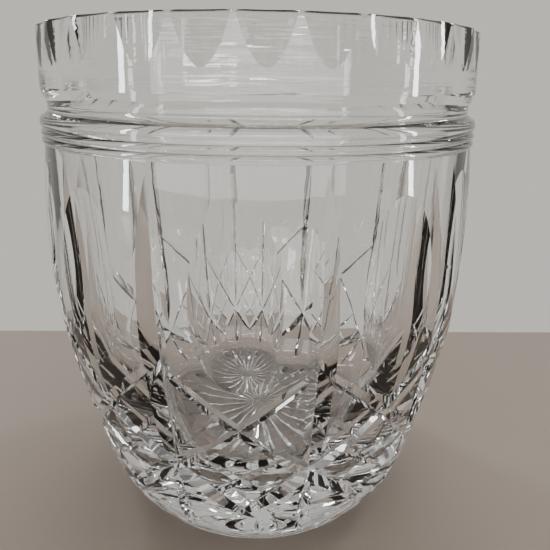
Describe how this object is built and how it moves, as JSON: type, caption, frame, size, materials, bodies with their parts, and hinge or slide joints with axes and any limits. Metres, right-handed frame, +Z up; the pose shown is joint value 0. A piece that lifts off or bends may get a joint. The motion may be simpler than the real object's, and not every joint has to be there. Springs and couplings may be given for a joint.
{
  "type": "mixing glass",
  "caption": "Wide, heavy cut-crystal mixing glass: scalloped rim, hollow neck with beads, panelled body with olive, wedge and diamond cuts, star-cut base.",
  "frame": {"origin": "centre of the resting face", "axes": "+Z up along the axis of the vessel; the middle of the front panel faces -Y"},
  "size_m": [0.1334, 0.1318, 0.15],
  "materials": {
    "glass": "polished cut crystal, clear"
  },
  "bodies": {
    "root": {"glass_vessel": "glass"}
  },
  "joints": []
}
